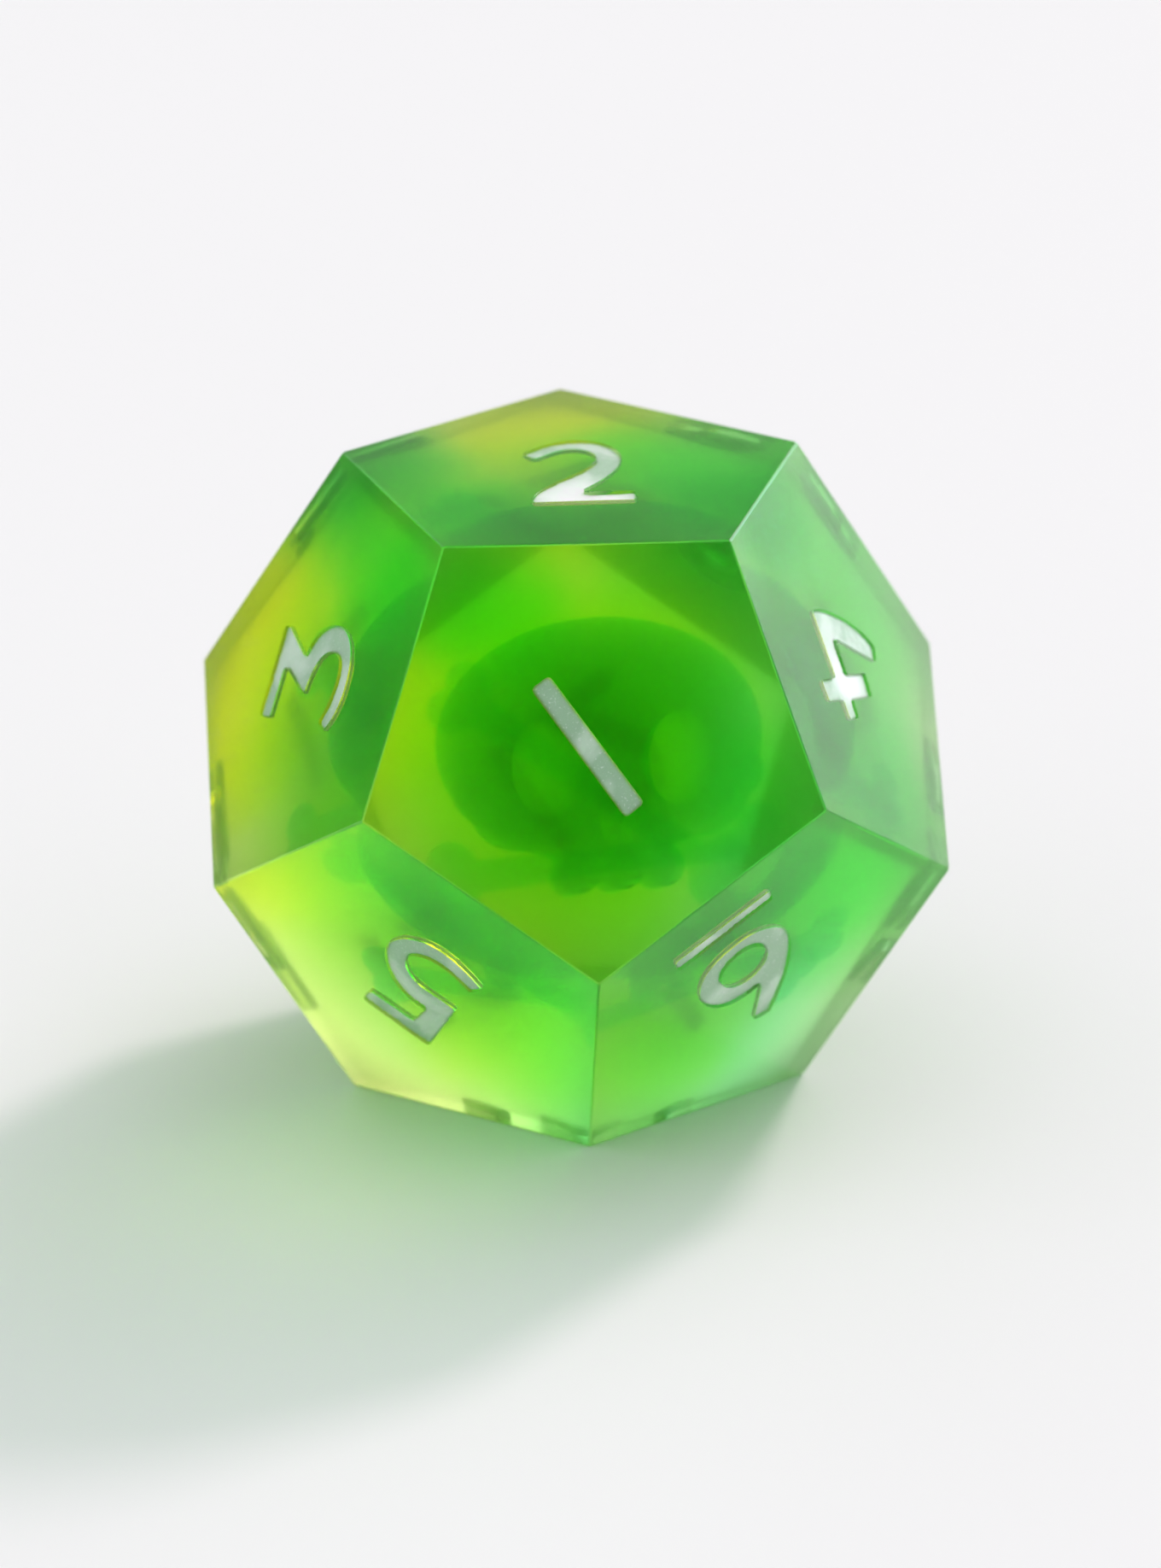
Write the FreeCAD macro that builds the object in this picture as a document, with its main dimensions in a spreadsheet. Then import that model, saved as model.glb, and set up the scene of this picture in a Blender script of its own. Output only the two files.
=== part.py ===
import FreeCAD, Part
import math
import os

# Twelve-sided die cast in clear resin: a regular dodecahedron with an engraved figure on every face,
# each engraving filled with paint, and a skull with two crossed bones cast into its middle.
# Origin at the centre of the die, +Z up, millimetres. Face 2 is on top and the die rests on face 11.

Vector = FreeCAD.Vector
Rotation = FreeCAD.Rotation
Placement = FreeCAD.Placement

DRIVING_SIZES = [
    ("across_flats", 20.0, "distance between opposite faces"),
    ("edge_break", 0.08, "width of the chamfer left by polishing on every edge"),
    ("engraving_depth", 0.45, "depth of the engraved figures below the face"),
    ("paint_recess", 0.10, "how far the paint sits below the face"),
    ("figure_height", 5.10, "height of a single figure"),
    ("figure_corner", 0.14, "corner radius of the engraving tool's path"),
    ("pair_scale", 0.82, "size of the figures of 10, 11 and 12 against the single ones"),
    ("pair_pitch", 2.90, "distance between the middles of two figures on one face"),
    ("skull_width", 10.50, "width of the cranium"),
    ("skull_height", 7.80, "height of the cranium"),
    ("skull_depth", 7.60, "depth of the cranium before its back is cut flat"),
    ("skull_back", 2.40, "distance from the middle of the cranium to its flat back"),
    ("skull_aside", 0.60, "how far the skull sits to the right of the die's middle, seen from face 1"),
    ("skull_rise", 0.55, "how far the middle of the cranium sits above the die's middle"),
    ("skull_roll", 4.0, "degrees that the skull leans, seen from face 1"),
    ("skull_turn", 5.5, "degrees that the skull looks to its left"),
    ("socket_width", 2.20, "width of an eye socket"),
    ("socket_height", 3.04, "height of an eye socket"),
    ("socket_depth", 8.40, "depth of the ellipsoid that hollows a socket"),
    ("socket_spread", 4.30, "distance between the middles of the sockets"),
    ("socket_drop", 0.95, "how far the sockets lie below the middle of the cranium"),
    ("socket_inset", 0.60, "distance from the front of the cranium to the middle of a socket"),
    ("nose_radius", 0.72, "size of the nose opening"),
    ("nose_drop", 3.00, "how far the nose lies below the middle of the cranium"),
    ("nose_inset", 1.60, "distance from the front of the cranium to the bottom of the nose opening"),
    ("jaw_width", 4.10, "width of the upper jaw"),
    ("jaw_depth", 4.60, "depth of the upper jaw"),
    ("jaw_drop", 4.25, "distance from the middle of the cranium to the line of the teeth"),
    ("jaw_inset", 0.80, "distance from the flat back of the skull to the back of the jaw"),
    ("tooth_radius", 0.70, "radius of the rounded end of a tooth"),
    ("bone_length", 9.90, "distance between the two ends' knobs"),
    ("bone_radius", 0.50, "radius of a bone's shaft"),
    ("knob_radius", 0.78, "radius of one lobe of a bone's end"),
    ("knob_spread", 1.00, "distance between the middles of the two lobes of a bone's end"),
    ("bone_gap", 0.12, "space between a bone and the piece in front of it"),
    ("crossbone_front_aside", 0.92, "how far the front bone's middle sits to the right of the die's middle"),
    ("crossbone_front_drop", 3.13, "how far the front bone's middle lies below the die's middle"),
    ("crossbone_front_slope", 6.0, "degrees that the front bone rises towards the right"),
    ("crossbone_rear_aside", 0.45, "how far the rear bone's middle sits to the right of the die's middle"),
    ("crossbone_rear_drop", 0.66, "how far the rear bone's middle lies below the die's middle"),
    ("crossbone_rear_slope", -35.0, "degrees that the rear bone rises towards the right"),
]

TOOTH_COUNT = 3
SLAB_SPAN = 3.0  # radius of a slab's disc against the distance across flats
CUTTER_RISE = 0.5  # how far an engraving cutter stands above the face
SHARP_CORNER = math.radians(25)  # walls that meet at more than this make a corner to round
UPRIGHT = 0.99  # an edge whose direction rises by more than this is a corner of a figure's wall

doc = FreeCAD.newDocument("twelve_sided_die")


def make_sheet():
    """Spreadsheet of driving sizes: name, value and meaning, one row each."""
    new_sheet = doc.addObject("Spreadsheet::Sheet", "dims")
    for row, (alias, value, meaning) in enumerate(DRIVING_SIZES, start=1):
        new_sheet.set(f"A{row}", alias)
        new_sheet.set(f"B{row}", str(value))
        new_sheet.set(f"C{row}", meaning)
        new_sheet.setAlias(f"B{row}", alias)
    doc.recompute()
    return new_sheet


sheet = make_sheet()


def size(alias):
    """Value of one driving size."""
    return float(sheet.get(alias))


def bind(target, **expressions):
    """Bind properties of an object to expressions of the sheet's cells."""
    for name, expression in expressions.items():
        target.setExpression(name.replace("__", "."), expression)


# ---------------------------------------------------------------------------------------------------
# Faces of the dodecahedron


def direction(azimuth, elevation):
    """Unit vector at an azimuth and an elevation in degrees."""
    level = math.cos(math.radians(elevation))
    return Vector(
        level * math.cos(math.radians(azimuth)),
        level * math.sin(math.radians(azimuth)),
        math.sin(math.radians(elevation)),
    )


RING_TILT = math.degrees(math.atan(0.5))  # elevation of the five normals around the top face
TOP_FACE = 2
UPPER_RING = {1: -90, 4: -18, 8: 54, 7: 126, 3: -162}  # face number: azimuth of its normal
FACE_SUM = 13  # opposite faces add up to this


def face_normals():
    """Outward unit normal of each numbered face."""
    normals = {TOP_FACE: Vector(0, 0, 1)}
    for number, azimuth in UPPER_RING.items():
        normals[number] = direction(azimuth, RING_TILT)
    for number in list(normals):
        normals[FACE_SUM - number] = normals[number].negative()
    return normals


NORMALS = face_normals()


def in_plane(vector, normal):
    """Part of a vector that lies in the plane of a face, as a unit vector."""
    flat = vector - normal * vector.dot(normal)
    return flat.normalize()


def figure_frame(number):
    """Rotation of a face's figure: X to its right, Y to its top, Z out of the face."""
    pole = 1 if number <= 6 else 12
    normal = NORMALS[number]
    if number == pole:
        first, second = (2, 3) if pole == 1 else (11, 10)
        up = in_plane(NORMALS[first] + NORMALS[second], normal)
    else:
        up = in_plane(NORMALS[pole].negative(), normal)
    return Rotation(up.cross(normal), up, normal, "ZYX")


# ---------------------------------------------------------------------------------------------------
# Figures. An outline starts at its first point and goes on through runs. A run is a smooth curve
# through its points, or a straight line if it has only one, and runs meet at corners. Units are
# millimetres for a figure of LETTER_HEIGHT, measured from the middle of the face.

LETTER_HEIGHT = 5.10

ONE = [[(-0.37, -2.50), [(0.37, -2.50)], [(0.37, 2.48)], [(-0.37, 2.48)], [(-0.37, -2.50)]]]

# the 1 that stands alone lies a little to the left and leans
LONE_ONE = [[(-0.62, -2.54), [(0.12, -2.51)], [(0.18, 2.43)], [(-0.52, 2.44)], [(-0.62, -2.54)]]]

TWO = [[
    (-1.20, 1.28), [(-1.56, 1.74)],
    [(-0.85, 2.46), (0.00, 2.84), (1.03, 2.56), (1.52, 1.74), (1.47, 0.66), (1.10, -0.22), (0.05, -1.68)],
    [(1.84, -1.70)], [(1.80, -2.46)], [(-1.50, -2.53)], [(-1.46, -2.20)],
    [(0.02, -0.10), (0.62, 0.78), (0.78, 1.34), (0.50, 1.91), (-0.08, 2.08), (-0.80, 1.64), (-1.20, 1.28)],
]]

THREE = [[
    (-1.56, 2.65), [(1.44, 2.66)], [(1.44, 2.40)], [(0.48, 0.76)],
    [(1.37, 0.12), (1.62, -0.86), (1.08, -1.98), (-0.03, -2.46), (-1.11, -2.34), (-1.78, -1.87)],
    [(-1.53, -1.37)],
    [(-1.11, -1.60), (-0.28, -1.78), (0.47, -1.60), (0.76, -1.03), (0.56, -0.36), (0.0, 0.0), (-0.74, 0.1)],
    [(0.17, 1.95)], [(-1.56, 1.94)], [(-1.56, 2.65)],
]]

FOUR = [[
    (-0.27, 2.70), [(0.22, 2.40)], [(-0.30, 0.95), (-0.80, -0.40)], [(0.43, -0.46)], [(0.50, 1.10)],
    [(1.28, 1.00)], [(1.25, -0.71)], [(1.86, -0.75)], [(1.86, -1.50)], [(1.20, -1.49)], [(1.14, -2.70)],
    [(0.42, -2.72)], [(0.46, -1.48)], [(-1.80, -1.44)],
    [(-1.81, -1.12), (-1.28, 1.10), (-0.86, 1.98), (-0.27, 2.70)],
]]

FIVE = [[
    (-1.23, 2.86), [(1.34, 2.76)], [(1.27, 2.09)], [(-0.41, 2.11)], [(-0.52, 1.06)],
    [(0.55, 0.92), (1.30, 0.20), (1.65, -0.88), (1.32, -1.78), (0.52, -2.34), (-0.64, -2.28), (-1.60, -1.86)],
    [(-1.32, -1.32)],
    [(-0.40, -1.62), (0.37, -1.54), (0.90, -1.00), (0.80, -0.45), (0.24, 0.02), (-0.50, 0.08), (-1.29, 0.10)],
    [(-1.23, 2.86)],
]]

SIX_HOLE = (0.12, -1.05, 0.90)
SIX = [[
    (0.06, 2.54), [(0.66, 2.34)], [(-0.18, 0.56)],
    [
        (0.42, 0.62), (1.20, 0.36), (1.76, -0.42), (1.79, -1.46), (1.24, -2.28), (0.27, -2.60),
        (-0.54, -2.54), (-1.30, -2.02), (-1.64, -1.14), (-1.54, -0.30), (-1.02, 1.00), (0.06, 2.54),
    ],
], SIX_HOLE]

SEVEN = [[
    (-1.55, 2.48), [(1.55, 2.54)], [(1.52, 1.96)], [(0.72, 0.10), (0.26, -2.46)], [(-0.52, -2.50)],
    [(-0.10, 0.05), (0.62, 1.80)], [(-1.52, 1.76)], [(-1.55, 2.48)],
]]

EIGHT = [[
    (-0.78, 0.24),
    [(-1.24, 1.28), (-0.86, 2.22), (0.00, 2.58), (0.86, 2.22), (1.24, 1.28), (0.78, 0.24)],
    [
        (1.46, -0.42), (1.62, -1.24), (1.10, -2.18), (0.00, -2.56),
        (-1.10, -2.18), (-1.62, -1.24), (-1.46, -0.42), (-0.78, 0.24),
    ],
], (0.0, 1.30, 0.58), (0.0, -1.10, 0.84)]

ZERO = [
    [
        (0.00, 2.58), [(1.12, 1.92), (1.52, 0.00), (1.12, -1.92), (0.00, -2.56)],
        [(-1.12, -1.92), (-1.52, 0.00), (-1.12, 1.92), (0.00, 2.58)],
    ],
    [
        (0.00, 1.86), [(0.56, 1.34), (0.78, 0.00), (0.56, -1.34), (0.00, -1.84)],
        [(-0.56, -1.34), (-0.78, 0.00), (-0.56, 1.34), (0.00, 1.86)],
    ],
]

UNDERLINE = [[(-1.71, -3.60), [(2.03, -3.58)], [(2.03, -4.18)], [(-1.71, -4.18)], [(-1.71, -3.60)]]]

# node name: (face, outlines, place in a pair: -1 left, 0 alone, 1 right, upside down)
FIGURES = {
    "numeral_1": (1, LONE_ONE, 0, False),
    "numeral_2": (2, TWO, 0, False),
    "numeral_3": (3, THREE, 0, False),
    "numeral_4": (4, FOUR, 0, False),
    "numeral_5": (5, FIVE, 0, False),
    "numeral_6": (6, SIX, 0, False),
    "underline_6": (6, UNDERLINE, 0, False),
    "numeral_7": (7, SEVEN, 0, False),
    "numeral_8": (8, EIGHT, 0, False),
    "numeral_9": (9, SIX, 0, True),
    "underline_9": (9, UNDERLINE, 0, False),
    "numeral_10_one": (10, ONE, -1, False),
    "numeral_10_zero": (10, ZERO, 1, False),
    "numeral_11_first_one": (11, ONE, -1, False),
    "numeral_11_second_one": (11, ONE, 1, False),
    "numeral_12_one": (12, ONE, -1, False),
    "numeral_12_two": (12, TWO, 1, False),
}


def figure_mover(place, upside_down):
    """Function that moves an outline's point to its place on the face, and its scale."""
    scale = size("figure_height") / LETTER_HEIGHT
    if place:
        scale *= size("pair_scale")
    sign = -1 if upside_down else 1
    shift = place * size("pair_pitch") / 2

    def moved(point):
        return Vector(sign * scale * point[0] + shift, sign * scale * point[1], 0)

    return moved, scale


def run_curve(points):
    """Straight line through two points, or a smooth curve through more."""
    if len(points) == 2:
        return Part.LineSegment(points[0], points[1])
    curve = Part.BSplineCurve()
    curve.interpolate(points)
    return curve


def draw_outline(sketch, outline, place, upside_down):
    """Add one closed outline, or a round hole given as x, y and radius, to a sketch."""
    moved, scale = figure_mover(place, upside_down)
    if len(outline) == 3 and not isinstance(outline[1], list):
        centre_x, centre_y, radius = outline
        sketch.addGeometry(Part.Circle(moved((centre_x, centre_y)), Vector(0, 0, 1), radius * scale))
        return
    last = moved(outline[0])
    for run in outline[1:]:
        points = [last] + [moved(point) for point in run]
        sketch.addGeometry(run_curve(points))
        last = points[-1]


def corner_edges(shape):
    """Names of the upright edges of a pad where its side walls meet at a corner."""
    names = []
    for index, edge in enumerate(shape.Edges, start=1):
        if not isinstance(edge.Curve, Part.Line) or abs(edge.tangentAt(edge.FirstParameter).z) < UPRIGHT:
            continue
        walls = shape.ancestorsOfType(edge, Part.Face)
        if len(walls) != 2:
            continue
        middle = edge.valueAt((edge.FirstParameter + edge.LastParameter) / 2)
        directions = [wall.normalAt(*wall.Surface.parameter(middle)) for wall in walls]
        if directions[0].getAngle(directions[1]) > SHARP_CORNER:
            names.append(f"Edge{index}")
    return names


def plane_of(body, role):
    """One of a body's own origin planes."""
    return next(plane for plane in body.Origin.OriginFeatures if plane.Role == role)


def figure_body(name, face, outlines, place, upside_down, top, depth):
    """Body of one figure, padded into the die from a height above its centre."""
    body = doc.addObject("PartDesign::Body", name)
    body.Label = name
    body.Placement = Placement(Vector(0, 0, 0), figure_frame(face))
    sketch = body.newObject("Sketcher::SketchObject", name + "_outline")
    sketch.AttachmentSupport = (plane_of(body, "XY_Plane"), [""])
    sketch.MapMode = "FlatFace"
    bind(sketch, AttachmentOffset__Base__z=top)
    for outline in outlines:
        draw_outline(sketch, outline, place, upside_down)
    pad = body.newObject("PartDesign::Pad", name + "_pad")
    pad.Profile = sketch
    pad.Reversed = True
    bind(pad, Length=depth)
    doc.recompute()
    corners = corner_edges(pad.Shape)
    if corners:
        rounding = body.newObject("PartDesign::Fillet", name + "_corners")
        rounding.Base = (pad, corners)
        bind(rounding, Radius="dims.figure_corner")
    return body


def make_paint(name, details):
    """Paint that fills one figure, from the bottom of its engraving to just below the face."""
    top = "dims.across_flats / 2 - dims.paint_recess"
    depth = "dims.engraving_depth - dims.paint_recess"
    return figure_body(name, *details, top, depth)


def make_engraver(name, details):
    """Cutter for the engraving of one figure."""
    top = f"dims.across_flats / 2 + {CUTTER_RISE}"
    depth = f"dims.engraving_depth + {CUTTER_RISE}"
    return figure_body("engraver_" + name, *details, top, depth)


# ---------------------------------------------------------------------------------------------------
# Insert: a skull that looks out of face 1, with two bones crossed behind it. It is modelled upright,
# X to its right as seen, Y up and Z out of its face, then turned to face 1.


def primitive(kind, name, centre, axis=Vector(0, 0, 1), **expressions):
    """Part primitive with its sizes bound to the sheet, set at a centre and turned to an axis."""
    made = doc.addObject("Part::" + kind, name)
    bind(made, **expressions)
    made.Placement = Placement(centre, Rotation(Vector(0, 0, 1), axis))
    return made


def ellipsoid(name, centre, width, height, depth):
    """Ellipsoid with its three full sizes given as expressions."""
    return primitive(
        "Ellipsoid", name, centre,
        Radius1=f"({depth}) / 2", Radius2=f"({width}) / 2", Radius3=f"({height}) / 2",
    )


def combine(kind, name, shapes):
    """MultiFuse of several objects, or what they all share with MultiCommon."""
    made = doc.addObject("Part::" + kind, name)
    made.Shapes = shapes
    return made


def subtract(name, base, tool):
    """Base object less the tool."""
    made = doc.addObject("Part::Cut", name)
    made.Base = base
    made.Tool = tool
    return made


def insert_frame(roll):
    """Rotation from the upright insert to its place behind face 1, leaning by a roll."""
    normal = NORMALS[1]
    up = in_plane(Vector(0, 0, 1), normal)
    facing = Rotation(up.cross(normal), up, normal, "ZYX")
    return facing.multiply(Rotation(Vector(0, 0, 1), roll))


def make_jaw():
    """Upper jaw: a block under the cranium with a row of rounded teeth along its lower edge."""
    jaw = doc.addObject("Part::Box", "jaw_block")
    bind(jaw, Length="dims.jaw_width", Width="dims.jaw_drop", Height="dims.jaw_depth")
    bind(jaw, Placement__Base__x="-dims.jaw_width / 2", Placement__Base__y="-dims.jaw_drop")
    bind(jaw, Placement__Base__z="dims.jaw_inset - dims.skull_back")
    teeth = []
    pitch = size("jaw_width") / TOOTH_COUNT
    for index in range(TOOTH_COUNT):
        place = (index - (TOOTH_COUNT - 1) / 2) * pitch
        centre = Vector(place, -size("jaw_drop"), size("jaw_inset") - size("skull_back"))
        tooth = primitive(
            "Cylinder", f"tooth_{index + 1}", centre,
            Radius="dims.tooth_radius", Height="dims.jaw_depth",
        )
        teeth.append(tooth)
    return [jaw] + teeth


def make_hollows():
    """Two eye sockets, a three-cornered nose and the space behind the skull's flat back."""
    front = size("skull_depth") / 2
    hollows = []
    for name, side in (("left_socket", -1), ("right_socket", 1)):
        across = side * size("socket_spread") / 2
        centre = Vector(across, -size("socket_drop"), front - size("socket_inset"))
        socket = ellipsoid(name, centre, "dims.socket_width", "dims.socket_height", "dims.socket_depth")
        hollows.append(socket)
    nose = doc.addObject("Part::Prism", "nose_opening")
    nose.Polygon = 3
    bind(nose, Circumradius="dims.nose_radius", Height="dims.skull_depth / 2")
    point_up = Rotation(Vector(0, 0, 1), 90)
    nose.Placement = Placement(Vector(0, -size("nose_drop"), front - size("nose_inset")), point_up)
    back = doc.addObject("Part::Box", "behind_the_back")
    bind(back, Length="dims.skull_width", Width="dims.skull_height", Height="dims.skull_depth")
    bind(back, Placement__Base__x="-dims.skull_width / 2", Placement__Base__y="-dims.skull_height / 2")
    bind(back, Placement__Base__z="-dims.skull_back - dims.skull_depth")
    return hollows + [nose, back]


def make_skull():
    """Cranium and jaw less their hollows, turned to look out of face 1."""
    widths = ("dims.skull_width", "dims.skull_height", "dims.skull_depth")
    cranium = ellipsoid("cranium", Vector(0, 0, 0), *widths)
    bulk = combine("MultiFuse", "skull_bulk", [cranium] + make_jaw())
    skull = subtract("skull", bulk, combine("MultiFuse", "skull_hollows", make_hollows()))
    skull.Label = "skull"
    middle = insert_frame(0).multVec(Vector(size("skull_aside"), size("skull_rise"), 0))
    turned = insert_frame(size("skull_roll")).multiply(Rotation(Vector(0, 1, 0), size("skull_turn")))
    skull.Placement = Placement(middle, turned)
    return skull


def make_bone(name, layer):
    """One bone: a round shaft with two knobs at each end, flat in its layer behind the skull."""
    half = size("bone_length") / 2
    lobe = size("knob_spread") / 2
    shaft = primitive(
        "Cylinder", name + "_shaft", Vector(-half, 0, 0), Vector(1, 0, 0),
        Radius="dims.bone_radius", Height="dims.bone_length",
    )
    pieces = [shaft]
    for end in (-half, half):
        for across in (-lobe, lobe):
            knob = f"{name}_knob_{len(pieces)}"
            pieces.append(primitive("Sphere", knob, Vector(end, across, 0), Radius="dims.knob_radius"))
    bone = combine("MultiFuse", name, pieces)
    bone.Label = name
    depth = size("skull_back") + size("bone_gap") + size("knob_radius")
    depth += layer * (size("bone_radius") + size("bone_gap") + size("knob_radius"))
    middle = insert_frame(0).multVec(Vector(size(name + "_aside"), -size(name + "_drop"), -depth))
    bone.Placement = Placement(middle, insert_frame(size(name + "_slope")))
    return bone


# ---------------------------------------------------------------------------------------------------
# Resin


def make_blank():
    """Dodecahedron as what six crossed slabs have in common, with a small chamfer on every edge."""
    slabs = []
    for number in [TOP_FACE] + list(UPPER_RING):
        normal = NORMALS[number]
        slab = primitive(
            "Cylinder", f"slab_{number}", Vector(0, 0, 0), normal,
            Radius=f"dims.across_flats * {SLAB_SPAN / 2}", Height="dims.across_flats",
        )
        for letter, part in zip("xyz", normal):
            slab.setExpression(f"Placement.Base.{letter}", f"-dims.across_flats / 2 * ({part:.12f})")
        slabs.append(slab)
    sharp = combine("MultiCommon", "sharp_dodecahedron", slabs)
    doc.recompute()
    blank = doc.addObject("Part::Chamfer", "blank")
    blank.Base = sharp
    width = size("edge_break")
    blank.Edges = [(index + 1, width, width) for index in range(len(sharp.Shape.Edges))]
    return blank


def make_resin(tools):
    """Blank less every engraving and less the space that the insert fills."""
    resin = subtract("resin_body", make_blank(), combine("MultiFuse", "everything_cut_away", tools))
    resin.Label = "resin_body"
    return resin


# ---------------------------------------------------------------------------------------------------
# Assembly, checks and files


def check_document(parts):
    """Stop if any object of the document failed or any sub-part has no good shape."""
    for item in doc.Objects:
        if "Invalid" in item.State or "Error" in item.State:
            raise RuntimeError(f"{item.Name} failed: {item.State}")
    for part in parts:
        if part.Shape.isNull() or not part.Shape.isValid() or not part.Shape.Solids:
            raise RuntimeError(f"{part.Label} has no valid solid")


insert = [make_skull(), make_bone("crossbone_front", 0), make_bone("crossbone_rear", 1)]
paints = [make_paint(name, details) for name, details in FIGURES.items()]
engravers = [make_engraver(name, details) for name, details in FIGURES.items()]
resin_body = make_resin(engravers + insert)
doc.recompute()

sub_parts = [resin_body] + insert + paints
check_document(sub_parts)

os.makedirs("parts", exist_ok=True)
for sub_part in sub_parts:
    sub_part.Shape.exportStep(f"parts/{sub_part.Label}.step")
    print(sub_part.Label, round(sub_part.Shape.Volume, 3), len(sub_part.Shape.Solids))
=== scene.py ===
import math

import bmesh
import bpy
from mathutils import Euler, Matrix, Vector, noise


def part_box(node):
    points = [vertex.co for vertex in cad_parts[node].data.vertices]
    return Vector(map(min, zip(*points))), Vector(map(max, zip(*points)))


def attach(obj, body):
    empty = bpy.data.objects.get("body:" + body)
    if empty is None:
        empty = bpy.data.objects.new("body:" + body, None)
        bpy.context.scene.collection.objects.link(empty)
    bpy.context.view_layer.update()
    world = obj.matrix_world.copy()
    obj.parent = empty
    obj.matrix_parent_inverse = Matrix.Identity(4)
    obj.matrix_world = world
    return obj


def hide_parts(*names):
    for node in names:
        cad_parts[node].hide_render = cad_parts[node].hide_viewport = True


# Looks of a twelve-sided resin die: a clear cast body with green and yellow pigment clouds, a skull with
# crossed bones inside it, and paint in the engraved figures. All places come from the frame.

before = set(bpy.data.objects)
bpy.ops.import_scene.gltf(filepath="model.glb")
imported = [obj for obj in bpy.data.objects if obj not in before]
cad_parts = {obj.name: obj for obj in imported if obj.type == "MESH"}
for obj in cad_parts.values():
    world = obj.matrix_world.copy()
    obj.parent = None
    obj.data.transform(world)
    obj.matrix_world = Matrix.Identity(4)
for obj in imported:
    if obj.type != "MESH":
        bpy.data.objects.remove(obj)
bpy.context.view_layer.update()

MM = 0.001
RESIN_LOW, RESIN_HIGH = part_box("resin_body")
FACE_DISTANCE = RESIN_HIGH.z  # from the middle of the die to each of its faces
RING_TILT = math.degrees(math.atan(0.5))  # elevation of the five faces around the top one

# ---------------------------------------------------------------------------------------------------
# Directions


def direction(azimuth, elevation):
    """Unit vector at an azimuth and an elevation in degrees."""
    level = math.cos(math.radians(elevation))
    return Vector((
        level * math.cos(math.radians(azimuth)),
        level * math.sin(math.radians(azimuth)),
        math.sin(math.radians(elevation)),
    ))


UPPER_RING = {1: -90, 4: -18, 8: 54, 7: 126, 3: -162}  # face number: azimuth of its normal
FACE_SUM = 13  # opposite faces add up to this


def face_normals():
    """Outward unit normal of each numbered face."""
    normals = {2: Vector((0, 0, 1))}
    for number, azimuth in UPPER_RING.items():
        normals[number] = direction(azimuth, RING_TILT)
    for number in list(normals):
        normals[FACE_SUM - number] = -normals[number]
    return normals


NORMALS = face_normals()
FACE_1 = NORMALS[1]
FACE_1_UP = FACE_1.cross(Vector((1, 0, 0)))
KEY_DIRECTION = direction(51, 32)
SKULL_ROLL, SKULL_TURN = 4.0, 5.5  # degrees that the skull leans and looks aside, seen from face 1
SKULL_MIDDLE = (0.60, 0.55, 0)  # mm from the middle of the die, seen from face 1
CAMERA_DIRECTION = direction(-93.55, 22.50)
CAMERA_DISTANCE = 37.457 * FACE_DISTANCE
CAMERA_AIM = Vector((0.0174, -0.0252, -0.0582)) * FACE_DISTANCE
LENS, SENSOR = 268.65, 36.0  # mm

# ---------------------------------------------------------------------------------------------------
# Node helpers


class Nodes:
    """Short way to write a node tree: each call adds a node and returns its output."""

    def __init__(self, tree):
        self.tree = tree
        tree.nodes.clear()

    def add(self, kind, inputs=(), output=0, **settings):
        node = self.tree.nodes.new("ShaderNode" + kind)
        for name, value in settings.items():
            setattr(node, name, value)
        for name, value in dict(inputs).items():
            if isinstance(value, bpy.types.NodeSocket):
                self.tree.links.new(value, node.inputs[name])
            else:
                node.inputs[name].default_value = value
        return node.outputs[output] if len(node.outputs) else None

    def maths(self, operation, first, second=0.0, third=0.0):
        return self.add("Math", {0: first, 1: second, 2: third}, operation=operation)

    def vector(self, operation, first, second=(0, 0, 0), output=0):
        return self.add("VectorMath", {0: first, 1: second}, output, operation=operation)

    def scaled(self, vector, by):
        return self.add("VectorMath", {0: vector, "Scale": by}, operation="SCALE")

    def dot(self, first, second):
        return self.vector("DOT_PRODUCT", first, second, "Value")

    def mix(self, share, first, second):
        node = self.tree.nodes.new("ShaderNodeMix")
        node.data_type = "RGBA"
        for index, value in ((0, share), (6, first), (7, second)):
            if isinstance(value, bpy.types.NodeSocket):
                self.tree.links.new(value, node.inputs[index])
            else:
                node.inputs[index].default_value = value
        return node.outputs[2]

    def noise(self, place, scale, detail=2.0, roughness=0.5, distortion=0.0):
        return self.add("TexNoise", {
            "Vector": place, "Scale": scale, "Detail": detail,
            "Roughness": roughness, "Distortion": distortion,
        })

    def ramp(self, value, low, high):
        """0 below low, 1 above high, smooth between them."""
        return self.add("MapRange", {0: value, 1: low, 2: high}, interpolation_type="SMOOTHSTEP")


def colour(red, green, blue):
    return (red, green, blue, 1.0)


def new_material(name):
    made = bpy.data.materials.new(name)
    made.use_nodes = True
    return made, Nodes(made.node_tree)


# ---------------------------------------------------------------------------------------------------
# Materials

RESIN_IOR = 1.5
# light lost per metre of resin in red, green and blue: clear resin, and each pigment at full strength
CLEAR_LOSS = (8, 0, 50)
YELLOW = (0, 5, 600)
LEAF = (300, 10, 300)
DEEP = (650, 90, 350)
TEAL = (200, 5, 30)
OLIVE = (30, 20, 100)
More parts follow.
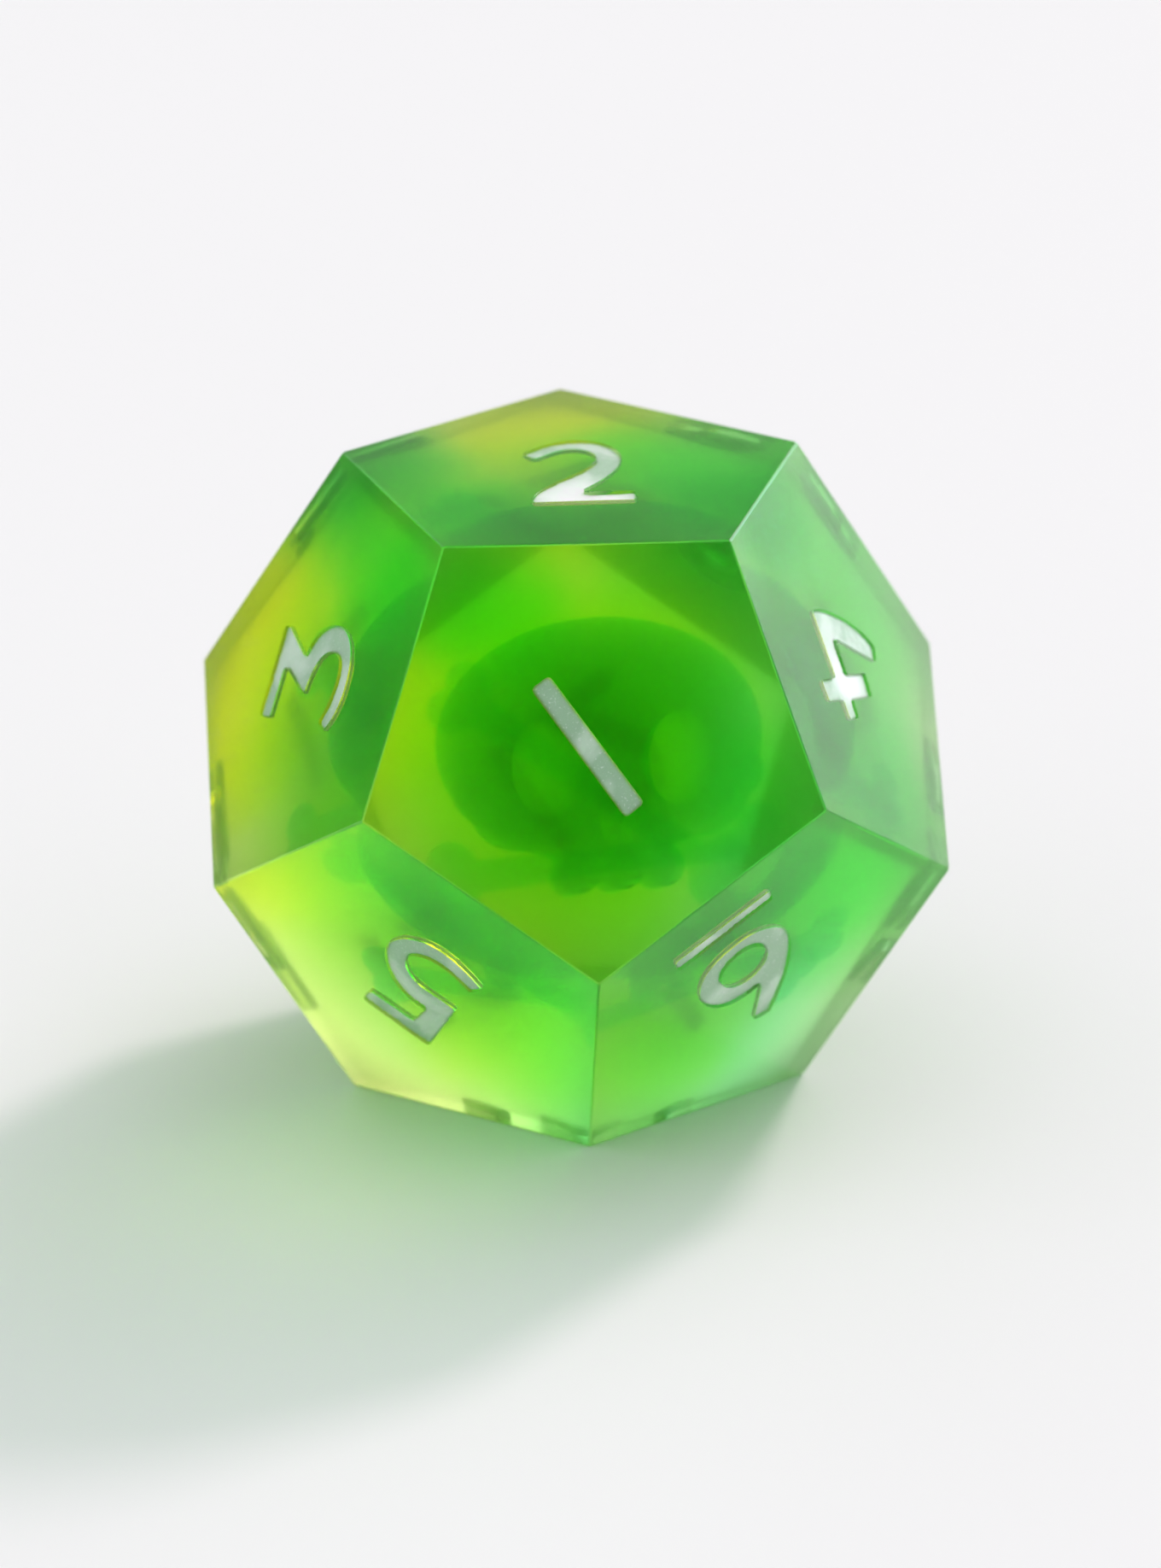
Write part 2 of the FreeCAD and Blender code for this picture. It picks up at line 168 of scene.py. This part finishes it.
# pigment clouds: the faces that one lies towards, its distance from the middle and its radius in face
# distances, its pigment and how much of it there is
CLOUDS = [
    ((2, 4), 1.10, 0.25, DEEP, 1.0),  # dark wisp to the right of face 1's top edge
    ((2, 3, 7), 1.20, 0.30, DEEP, 1.0),  # dark wisp to the left of it
    ((2, 3), 0.75, 0.25, LEAF, 1.3),  # wisp over the skull's left
    ((2, 8), 0.80, 0.25, LEAF, 1.0),  # wisp behind the skull
    ((12,), 0.20, 0.65, TEAL, 0.6),  # green heart
    ((7,), 0.30, 0.65, YELLOW, 0.35),  # yellow around the skull
    ((3, 7, 9), 1.05, 0.45, YELLOW, 1.3),  # yellow left side
    ((2, 7, 8), 1.00, 0.30, YELLOW, 1.1),  # yellow under the far corner of the top
    ((1,), 0.75, 0.40, YELLOW, 0.9),  # yellow behind face 1
    ((11,), 0.60, 0.35, YELLOW, 0.4),  # yellow over the middle of the bottom
    ((4, 8), 1.20, 0.55, LEAF, 0.9),  # green shoulder on the right
    ((4, 6, 10), 0.85, 0.35, LEAF, 1.0),  # green corner on the right
    ((6, 11), 1.10, 0.50, TEAL, 0.6),  # mint on the lower right
    ((5,), 1.00, 0.55, OLIVE, 0.9),  # olive on the lower left
    ((9, 11), 1.20, 0.35, OLIVE, 0.5),  # olive at the bottom
]
CLOUD_SOFTNESS = 0.6  # how far a cloud fades to either side of its radius, against the radius
DENSEST = 1800.0  # more light lost per metre than at any place in the resin
# light scattered per metre: in the whole resin, in front of the skull, and more behind it and at the rim
HAZE = 72.0
FRONT_HAZE = 20.0
MORE_BEHIND = 380.0
MORE_AT_RIM = 280.0


def towards(faces, distance):
    """Point at a distance from the middle, towards a face, the edge of two or the corner of three."""
    return sum((NORMALS[number] for number in faces), Vector((0, 0, 0))).normalized() * distance


def cloud(nodes, place, centre, radius):
    """1 inside a soft ball of the resin, 0 outside it; centre and radius in face distances."""
    gap = nodes.vector("DISTANCE", place, tuple(Vector(centre) * FACE_DISTANCE), "Value")
    reach = radius * FACE_DISTANCE
    limits = {1: reach * (1 - CLOUD_SOFTNESS), 2: reach * (1 + CLOUD_SOFTNESS)}
    return nodes.add("MapRange", {0: gap, **limits, 3: 1.0, 4: 0.0}, interpolation_type="SMOOTHSTEP")


def scratches(nodes, place, along, seed):
    """Faint parallel sanding marks, 0 to 1, that run along one turned axis."""
    turned = nodes.add("Mapping", {0: place, "Location": (seed, seed, seed), "Rotation": along})
    drawn_out = nodes.vector("MULTIPLY", turned, (0.12 / MM, 5 / MM, 5 / MM))
    return nodes.ramp(nodes.noise(drawn_out, 1.0, detail=2.0), 0.55, 0.80)


def resin_material():
    """Cast resin with drifting clouds of pigment, a slight milkiness and a hand-sanded surface."""
    made, nodes = new_material("clear_resin")
    place = nodes.add("TexCoord", output="Object")
    wisps = nodes.add("TexNoise", {"Vector": place, "Scale": 0.25 / MM, "Detail": 2.0}, "Color")
    drift = nodes.scaled(nodes.vector("SUBTRACT", wisps, (0.5, 0.5, 0.5)), 3 * MM)
    moved = nodes.vector("ADD", place, drift)
    loss = CLEAR_LOSS
    for faces, distance, radius, pigment, strength in CLOUDS:
        share = nodes.maths("MULTIPLY", cloud(nodes, moved, towards(faces, distance), radius), strength)
        loss = nodes.vector("ADD", loss, nodes.scaled(pigment, share))
    kept = nodes.vector("SUBTRACT", (1, 1, 1), nodes.scaled(loss, 1 / DENSEST))
    absorption = nodes.add("VolumeAbsorption", {"Color": kept, "Density": DENSEST})
    window = cloud(nodes, moved, towards((1,), 0.4), 0.75)
    behind = cloud(nodes, moved, towards((12,), 0.75), 0.45)
    from_middle = nodes.vector("LENGTH", place, output="Value")
    rim = nodes.ramp(from_middle, 1.0 * FACE_DISTANCE, 1.2 * FACE_DISTANCE)
    milk = nodes.maths("MULTIPLY_ADD", window, FRONT_HAZE - HAZE, HAZE)
    milk = nodes.maths("MULTIPLY_ADD", behind, MORE_BEHIND, milk)
    milk = nodes.maths("MULTIPLY_ADD", rim, MORE_AT_RIM, milk)
    haze = nodes.add("VolumeScatter", {
        "Color": colour(0.94, 1.0, 0.80), "Density": milk, "Anisotropy": 0.87,
    })
    volume = nodes.add("AddShader", {0: absorption, 1: haze})

    leftness = nodes.ramp(nodes.dot(moved, (-1, 0, 0.3)), -0.7 * FACE_DISTANCE, 0.7 * FACE_DISTANCE)
    tint = nodes.mix(leftness, colour(0.74, 0.97, 0.66), colour(0.90, 0.98, 0.45))
    one_way = scratches(nodes, place, (0.3, 0.2, 0.9), 0.31)
    other_way = scratches(nodes, place, (1.2, 0.7, -0.6), 0.57)
    marks = nodes.maths("MAXIMUM", one_way, other_way)
    cloudy = nodes.ramp(nodes.noise(place, 0.5 / MM, detail=4.0), 0.35, 0.75)
    rough = nodes.maths("MULTIPLY_ADD", cloudy, 0.05, nodes.maths("MULTIPLY_ADD", marks, 0.06, 0.08))
    dents = nodes.maths("MULTIPLY_ADD", nodes.noise(place, 0.35 / MM, detail=2.0), 4.0, marks)
    bump = nodes.add("Bump", {"Height": dents, "Strength": 0.3, "Distance": 0.002 * MM})
    surface = nodes.add("BsdfPrincipled", {
        "Base Color": tint, "Roughness": rough, "Normal": bump, "IOR": RESIN_IOR, "Transmission Weight": 1.0,
    })
    nodes.add("OutputMaterial", {"Surface": surface, "Volume": volume})
    return made


INSERT_LOSS = (220, 84, 5)  # light lost per metre of the insert in red, green and blue
INSERT_IOR = 1.001  # against the resin around it


def insert_material():
    """Dark green translucent casting."""
    made, nodes = new_material("insert_resin")
    surface = nodes.add("BsdfPrincipled", {
        "Base Color": colour(0.50, 0.95, 0.80), "Roughness": 0.0, "IOR": INSERT_IOR,
        "Transmission Weight": 1.0,
    })
    densest = max(INSERT_LOSS)
    absorption = nodes.add("VolumeAbsorption", {
        "Color": colour(*[1 - part / densest for part in INSERT_LOSS]), "Density": densest,
    })
    nodes.add("OutputMaterial", {"Surface": surface, "Volume": absorption})
    return made


# painted highlights, white patches put into the paint's colour where it lies thick and catches the light:
# middle and radius in face distances
PAINTED_GLINTS = [((0.02, -0.22, 0.98), 0.16), ((0.86, -0.33, 0.42), 0.10)]


def paint_material():
    """Pearly grey-green paint, patchy where it lies thin, with painted highlights where it lies thick and
    catches the light.
    """
    made, nodes = new_material("paint")
    place = nodes.add("TexCoord", output="Object")
    thick = nodes.ramp(nodes.noise(place, 0.45 / MM, detail=3.0, distortion=0.6), 0.42, 0.62)
    body = nodes.mix(thick, colour(0.40, 0.60, 0.42), colour(0.66, 0.80, 0.68))
    flakes = nodes.ramp(nodes.noise(place, 14 / MM, detail=2.0), 0.60, 0.72)
    body = nodes.mix(nodes.maths("MULTIPLY", flakes, 0.5), body, colour(0.92, 0.97, 0.94))
    # painted highlights: the paint's colour is whitened in these patches to stand in for its shine
    for centre, radius in PAINTED_GLINTS:
        body = nodes.mix(cloud(nodes, place, centre, radius), body, colour(0.93, 0.98, 0.95))
    grain = nodes.noise(place, 9 / MM, detail=4.0, roughness=0.6)
    bump = nodes.add("Bump", {"Height": grain, "Strength": 0.5, "Distance": 0.015 * MM})
    rough = nodes.maths("MULTIPLY_ADD", thick, -0.15, 0.45)
    surface = nodes.add("BsdfPrincipled", {
        "Base Color": body, "Roughness": rough, "Normal": bump, "Specular IOR Level": 0.8,
        "Subsurface Weight": 0.6, "Subsurface Radius": (0.5, 1, 0.5), "Subsurface Scale": 0.3 * MM,
    })
    nodes.add("OutputMaterial", {"Surface": surface})
    return made


def floor_material():
    """Plain white paper."""
    made, nodes = new_material("floor_paper")
    surface = nodes.add("BsdfPrincipled", {
        "Base Color": colour(0.87, 0.87, 0.87), "Roughness": 0.6, "Specular IOR Level": 0.2,
    })
    nodes.add("OutputMaterial", {"Surface": surface})
    return made


# ---------------------------------------------------------------------------------------------------
# Mesh helpers


def copy_of(node):
    """bmesh of a CAD node with its split vertices joined."""
    mesh = bmesh.new()
    mesh.from_mesh(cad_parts[node].data)
    bmesh.ops.remove_doubles(mesh, verts=mesh.verts, dist=0.0005 * MM)
    return mesh


def shells(mesh):
    """Lists of faces of each connected shell."""
    left = set(mesh.faces)
    found = []
    while left:
        start = left.pop()
        shell, edge_of_growth = [start], [start]
        while edge_of_growth:
            face = edge_of_growth.pop()
            for edge in face.edges:
                for other in edge.link_faces:
                    if other in left:
                        left.remove(other)
                        shell.append(other)
                        edge_of_growth.append(other)
        found.append(shell)
    return found


def object_from(mesh, name, material, smooth=True):
    """New object that rides on the die, from a bmesh."""
    data = bpy.data.meshes.new(name)
    mesh.to_mesh(data)
    mesh.free()
    for polygon in data.polygons:
        polygon.use_smooth = smooth
    data.materials.append(material)
    made = bpy.data.objects.new(name, data)
    bpy.context.scene.collection.objects.link(made)
    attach(made, "root")
    return made


def apply_modifiers(target):
    """Bake every modifier into the mesh."""
    graph = bpy.context.evaluated_depsgraph_get()
    baked = bpy.data.meshes.new_from_object(target.evaluated_get(graph))
    target.modifiers.clear()
    target.data = baked


def blob_mesh(mesh, centre, radii, turn=(0, 0, 0)):
    """Add an ellipsoid to a bmesh; millimetres and degrees."""
    place = Matrix.Translation(centre) @ Euler([math.radians(angle) for angle in turn]).to_matrix().to_4x4()
    place = place @ Matrix.Diagonal((*radii, 1))
    bmesh.ops.create_icosphere(mesh, subdivisions=4, radius=1, matrix=place)


def rod_mesh(mesh, start, end, radius, end_radius=None):
    """Add a straight round rod between two points to a bmesh."""
    line = Vector(end) - Vector(start)
    place = Matrix.Translation((Vector(start) + Vector(end)) / 2)
    place = place @ line.to_track_quat("Z", "Y").to_matrix().to_4x4()
    bmesh.ops.create_cone(
        mesh, cap_ends=True, segments=32, radius1=radius,
        radius2=radius if end_radius is None else end_radius, depth=line.length, matrix=place,
    )


def loose_object(mesh, name):
    """Working object that isn't part of the scene's result."""
    data = bpy.data.meshes.new(name)
    mesh.to_mesh(data)
    mesh.free()
    made = bpy.data.objects.new(name, data)
    bpy.context.scene.collection.objects.link(made)
    return made


def discard(*objects):
    for item in objects:
        bpy.data.objects.remove(item)


def melted(solid, cutters, voxel, smoothing):
    """Join a mesh's overlapping blobs into one skin, carve it with the cutters and soften it."""
    remesh = solid.modifiers.new("join", "REMESH")
    remesh.mode = "VOXEL"
    remesh.voxel_size = voxel
    apply_modifiers(solid)
    if cutters:
        carve = solid.modifiers.new("carve", "BOOLEAN")
        carve.operation = "DIFFERENCE"
        carve.solver = "EXACT"
        carve.use_self = True
        carve.object = cutters
        apply_modifiers(solid)
        again = solid.modifiers.new("even", "REMESH")
        again.mode = "VOXEL"
        again.voxel_size = voxel
        apply_modifiers(solid)
    soften = solid.modifiers.new("soften", "SMOOTH")
    soften.iterations = smoothing
    apply_modifiers(solid)


# ---------------------------------------------------------------------------------------------------
# Pieces


def make_resin():
    """Outer shell of the die with its engravings; the insert sits in it with no air around it."""
    mesh = copy_of("resin_body")
    groups = sorted(shells(mesh), key=lambda faces: -max(face.calc_center_median().length for face in faces))
    inner = [face for group in groups[1:] for face in group]
    bmesh.ops.delete(mesh, geom=inner, context="FACES")
    bmesh.ops.recalc_face_normals(mesh, faces=mesh.faces)
    for edge in mesh.edges:
        edge.smooth = edge.calc_face_angle(0) < math.radians(50)
    made = object_from(mesh, "resin", resin_material())
    weights = made.modifiers.new("weights", "WEIGHTED_NORMAL")
    weights.keep_sharp = True
    weights.weight = 100
    apply_modifiers(made)
    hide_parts("resin_body")
    return made


def insert_frame(roll):
    """Matrix from the upright insert in millimetres to its place behind face 1, leaning by a roll."""
    facing = Matrix((Vector((1, 0, 0)), FACE_1_UP, FACE_1)).transposed().to_4x4()
    return Matrix.Scale(MM, 4) @ facing @ Matrix.Rotation(math.radians(roll), 4, "Z")


def settle(working, name, place, material, slot, *nodes):
    """Move a working object into the die as a finished piece."""
    mesh = bmesh.new()
    mesh.from_mesh(working.data)
    bmesh.ops.transform(mesh, matrix=place, verts=mesh.verts)
    discard(working)
    made = object_from(mesh, name, material)
    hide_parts(*nodes)
    return made


TOOTH_PITCH = 1.36  # mm between the middles of two teeth
TOOTH_LINE = -4.26  # mm from the middle of the cranium to the middles of the teeth's ends


def make_skull(material):
    """Cartoon-plain skull: round cranium, brows, cheekbones and three upper teeth."""
    solid = bmesh.new()
    blob_mesh(solid, (0, 0, 0), (5.22, 3.88, 3.90))
    blob_mesh(solid, (0, -2.9, 1.2), (2.2, 1.2, 2.2))
    for side in (-1, 1):
        blob_mesh(solid, (side * 2.1, 0.8, 2.8), (1.8, 0.5, 0.75), (0, side * 22, side * -8))
        blob_mesh(solid, (side * 2.9, -2.3, 1.1), (1.50, 1.10, 1.6), (0, side * 24, side * 8))
        blob_mesh(solid, (side * 3.9, -1.4, 0.7), (1.0, 1.0, 1.9), (0, side * 12, 0))
    for index in (-1, 0, 1):
        across = index * TOOTH_PITCH
        front = 2.9 - 0.13 * across * across
        blob_mesh(solid, (across, TOOTH_LINE, front), (0.62, 0.70, 0.50))
        rod_mesh(solid, (across, TOOTH_LINE, front), (across, TOOTH_LINE, -0.6), 0.62)
    blob_mesh(solid, (0, -2.0, 3.05), (0.45, 0.9, 0.4))
    carved = bmesh.new()
    for side in (-1, 1):
        blob_mesh(carved, (side * 2.15, -0.95, 3.2), (1.12, 1.52, 4.2), (0, side * 2, side * -5))
        blob_mesh(carved, (side * 0.32, -3.0, 3.4), (0.34, 0.62, 1.8), (0, 0, side * -14))
    rod_mesh(carved, (0, 0, -2.4), (0, 0, -7.4), 8)
    skull, cutters = loose_object(solid, "skull_solid"), loose_object(carved, "skull_carved")
    melted(skull, cutters, voxel=0.11, smoothing=3)
    discard(cutters)
    place = insert_frame(0) @ Matrix.Translation(SKULL_MIDDLE)
    place = place @ Matrix.Rotation(math.radians(SKULL_ROLL), 4, "Z")
    place = place @ Matrix.Rotation(math.radians(SKULL_TURN), 4, "Y")
    return settle(skull, "skull_cast", place, material, "insert_resin", "skull")


BONE_HALF = 4.95  # mm from the middle of a bone to its lobes
LOBE_ASIDE = 0.5  # mm from a bone's axis to the middle of a lobe


def make_bone(node, slope, material):
    """Long bone with a waisted shaft and two lobes at each end, where the CAD bone lies."""
    solid = bmesh.new()
    for end in (-1, 1):
        rod_mesh(solid, (0, 0, 0), (end * BONE_HALF, 0, 0), 0.40, 0.56)
        for across in (-1, 1):
            centre = (end * BONE_HALF, across * LOBE_ASIDE, 0)
            blob_mesh(solid, centre, (0.78, 0.72, 0.72), (0, 0, end * across * 18))
    bone = loose_object(solid, node + "_solid")
    melted(bone, None, voxel=0.09, smoothing=4)
    low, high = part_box(node)
    place = Matrix.Translation((low + high) / 2) @ insert_frame(slope)
    return settle(bone, node + "_cast", place, material, "insert_resin", node)


PAINT_SEEP = 0.012  # mm that the paint grips into the wall of its engraving
PAINT_SWELL = 0.03  # mm that the top of the paint swells and sinks


def make_figure_paint(node, material):
    """Poured paint of one figure: the engraving's shape with an uneven, softly rounded top."""
    mesh = copy_of(node)
    bmesh.ops.scale(mesh, vec=Vector((1, 1, 1)) / MM, verts=mesh.verts)
    middle = sum((vertex.co for vertex in mesh.verts), Vector()) / len(mesh.verts)
    outward = max((face.normal.copy() for face in mesh.faces), key=middle.dot)
    paint = loose_object(mesh, node + "_solid")
    melted(paint, None, voxel=0.06, smoothing=2)
    mesh = bmesh.new()
    mesh.from_mesh(paint.data)
    discard(paint)
    mesh.normal_update()
    top = max(vertex.co.dot(outward) for vertex in mesh.verts)
    for vertex in mesh.verts:
        spot = vertex.co.copy()
        vertex.co += vertex.normal * PAINT_SEEP
        if spot.dot(outward) > top - 0.15:
            swell = noise.noise(spot * 0.9) + 0.35 * noise.noise(spot * 4.0)
            vertex.co += outward * (swell * PAINT_SWELL)
    bmesh.ops.scale(mesh, vec=Vector((MM, MM, MM)), verts=mesh.verts)
    made = object_from(mesh, node + "_paint", material)
    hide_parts(node)


def make_floor():
    """Wide sheet of paper under the die."""
    mesh = bmesh.new()
    bmesh.ops.create_circle(mesh, cap_ends=True, segments=96, radius=1.5)
    bmesh.ops.translate(mesh, verts=mesh.verts, vec=(0, 0, RESIN_LOW.z - 0.01 * MM))
    data = bpy.data.meshes.new("floor")
    mesh.to_mesh(data)
    mesh.free()
    data.materials.append(floor_material())
    made = bpy.data.objects.new("floor", data)
    bpy.context.scene.collection.objects.link(made)


# ---------------------------------------------------------------------------------------------------
# Light and camera

# each glow or shade of the room: direction, sharpness, strength and, for a glow, its colour
ROOM_COLOUR = (0.78, 0.86, 0.82)
ROOM_GLOWS = [
    (direction(46, 4), 50.0, 3.8, (0.58, 0.92, 0.95)),  # window low on the right, behind the die
    (direction(51, 32), 30.0, 5.0, (0.95, 0.80, 0.90)),  # thin curtain around the key light
    (direction(114, 9), 22.0, 0.75, (0.9, 1.0, 0.95)),  # white backdrop
]
ROOM_SHADES = [
    (direction(-88, 30), 9.0, 0.97),  # photographer
    (direction(139, 1), 16.0, 0.95),  # dark corner on the left, behind the die
    (direction(78, 32), 16.0, 0.92),  # dark wall above the backdrop
]
PAPER_WHITE = 0.913


def make_room():
    """Room light: dim behind the camera and in the left corner, bright towards the window."""
    world = bpy.data.worlds.new("room")
    bpy.context.scene.world = world
    world.use_nodes = True
    nodes = Nodes(world.node_tree)
    looking = nodes.add("TexCoord", output="Generated")

    def lobe(towards, sharpness):
        facing = nodes.maths("SUBTRACT", nodes.dot(looking, tuple(towards)), 1.0)
        return nodes.maths("EXPONENT", nodes.maths("MULTIPLY", facing, sharpness))

    level = 1.0
    for towards, sharpness, depth in ROOM_SHADES:
        shade = nodes.maths("MULTIPLY_ADD", lobe(towards, sharpness), -depth, 1.0)
        level = nodes.maths("MULTIPLY", shade, level)
    light = nodes.scaled(ROOM_COLOUR, level)
    for towards, sharpness, strength, tint in ROOM_GLOWS:
        glow = nodes.maths("MULTIPLY", lobe(towards, sharpness), strength)
        light = nodes.vector("ADD", light, nodes.scaled(tint, glow))
    light = nodes.mix(nodes.add("LightPath", output="Is Camera Ray"), light, colour(*[PAPER_WHITE] * 3))
    background = nodes.add("Background", {"Color": light})
    nodes.add("OutputWorld", {"Surface": background})


def make_key():
    """Soft key light from behind on the right, which throws the shadow forward to the left."""
    lamp = bpy.data.lights.new("key", "SUN")
    lamp.energy = 1.35
    lamp.angle = math.radians(8)
    lamp.color = (1.0, 0.75, 0.90)
    made = bpy.data.objects.new("key", lamp)
    made.rotation_euler = KEY_DIRECTION.to_track_quat("Z", "Y").to_euler()
    bpy.context.scene.collection.objects.link(made)


def make_camera():
    """Long lens, close to level with the front face."""
    data = bpy.data.cameras.new("camera")
    data.sensor_width = SENSOR
    data.lens = LENS
    data.clip_start = 0.01
    data.clip_end = 10
    data.dof.use_dof = True
    data.dof.focus_distance = CAMERA_DISTANCE - 0.9 * FACE_DISTANCE
    data.dof.aperture_fstop = 50
    made = bpy.data.objects.new("camera", data)
    made.location = CAMERA_AIM + CAMERA_DIRECTION * CAMERA_DISTANCE
    made.rotation_euler = CAMERA_DIRECTION.to_track_quat("Z", "Y").to_euler()
    bpy.context.scene.collection.objects.link(made)
    bpy.context.scene.camera = made


def set_light_paths():
    """Enough bounces for light that crosses the die several times, and true colours."""
    scene = bpy.context.scene
    scene.view_settings.view_transform = "Standard"
    scene.cycles.max_bounces = 24
    scene.cycles.transmission_bounces = 24
    scene.cycles.transparent_max_bounces = 16
    scene.cycles.volume_bounces = 6


make_resin()
insert = insert_material()
make_skull(insert)
make_bone("crossbone_front", 6, insert)
make_bone("crossbone_rear", -35, insert)
paint = paint_material()
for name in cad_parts:
    if name.startswith(("numeral", "underline")):
        make_figure_paint(name, paint)
make_floor()
make_room()
make_key()
make_camera()
set_light_paths()
